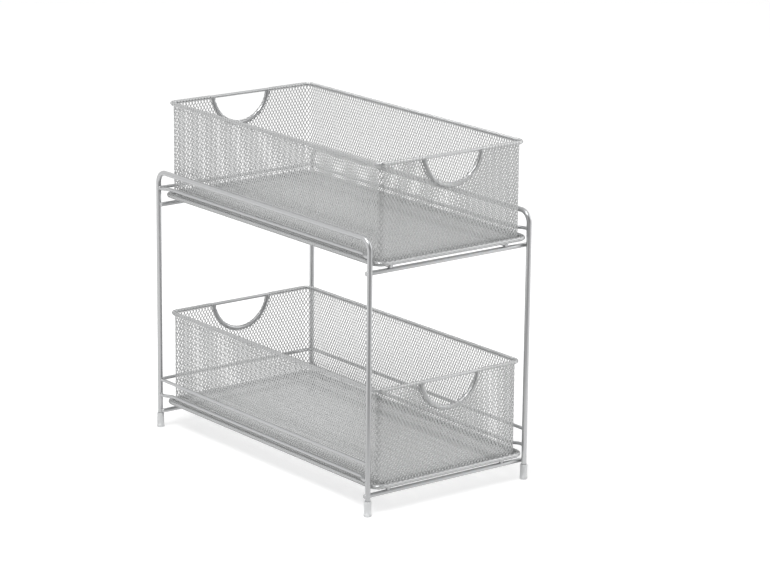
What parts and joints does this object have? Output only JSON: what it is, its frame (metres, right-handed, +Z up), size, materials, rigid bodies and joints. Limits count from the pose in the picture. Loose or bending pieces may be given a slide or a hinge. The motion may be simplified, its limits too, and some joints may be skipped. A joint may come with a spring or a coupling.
{
  "type": "pull-out cabinet basket",
  "caption": "Free-standing tiered wire frame with long mesh baskets that slide out to the front, for bottles and jars in a kitchen cabinet.",
  "frame": {"origin": "on the floor, under the middle of the bounding box", "axes": "-Y is the front, towards which the baskets pull out; +X is to the right seen from the front; +Z is up"},
  "size_m": [0.235, 0.4234, 0.4006],
  "materials": {
    "wire": "satin silver coated steel wire",
    "mesh": "satin silver coated expanded steel mesh",
    "foot_caps": "translucent whitish soft plastic"
  },
  "bodies": {
    "frame": {"left_side_frame": "wire", "right_side_frame": "wire", "front_left_foot_cap": "foot_caps", "front_right_foot_cap": "foot_caps", "rear_left_foot_cap": "foot_caps", "rear_right_foot_cap": "foot_caps", "upper_front_cross_bar": "wire", "upper_rear_cross_bar": "wire", "upper_left_support_rail": "wire", "upper_right_support_rail": "wire", "upper_left_guide_wire": "wire", "upper_right_guide_wire": "wire", "upper_back_wire": "wire", "lower_front_cross_bar": "wire", "lower_rear_cross_bar": "wire", "lower_left_support_rail": "wire", "lower_right_support_rail": "wire", "lower_left_guide_wire": "wire", "lower_right_guide_wire": "wire", "lower_left_guard_wire": "wire", "lower_right_guard_wire": "wire", "lower_back_guard_wire": "wire"},
    "upper_basket": {"upper_basket_floor": "mesh", "upper_basket_edge_wire": "wire", "upper_basket_rim_wire": "wire", "upper_basket_left_wall": "mesh", "upper_basket_right_wall": "mesh", "upper_basket_front_wall": "mesh", "upper_basket_back_wall": "mesh", "upper_basket_front_arch": "wire", "upper_basket_back_arch": "wire"},
    "lower_basket": {"lower_basket_floor": "mesh", "lower_basket_edge_wire": "wire", "lower_basket_rim_wire": "wire", "lower_basket_left_wall": "mesh", "lower_basket_right_wall": "mesh", "lower_basket_front_wall": "mesh", "lower_basket_back_wall": "mesh", "lower_basket_front_arch": "wire", "lower_basket_back_arch": "wire"}
  },
  "joints": [
    {"name": "upper_basket_slide", "type": "slide", "parent": "frame", "child": "upper_basket", "axis": [0, -1, 0], "range_m": [-0.0065, 0.138]},
    {"name": "lower_basket_slide", "type": "slide", "parent": "frame", "child": "lower_basket", "axis": [0, -1, 0], "range_m": [-0.0065, 0.138]}
  ]
}
